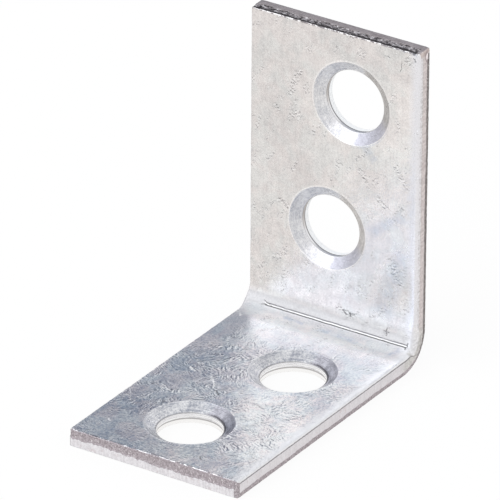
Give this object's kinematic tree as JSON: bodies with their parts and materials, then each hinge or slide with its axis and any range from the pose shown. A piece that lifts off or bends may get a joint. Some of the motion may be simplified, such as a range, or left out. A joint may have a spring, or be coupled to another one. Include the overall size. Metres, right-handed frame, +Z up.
{
  "type": "angle bracket",
  "caption": "Small right-angle bracket bent from galvanised sheet steel, with countersunk screw holes staggered along both legs.",
  "frame": {"origin": "under the middle of the bounding box, on the plane that the foot stands on", "axes": "+X across the strip's width, +Z up along the upright leg, +Y from the front end of the foot towards the back of the upright leg"},
  "size_m": [0.0144, 0.0246, 0.025],
  "materials": {
    "galvanised_steel": "bright hot-dip zinc with faint spangle, fine scratches and raw broken edges"
  },
  "bodies": {
    "root": {"angle_bracket": "galvanised_steel"}
  },
  "joints": []
}
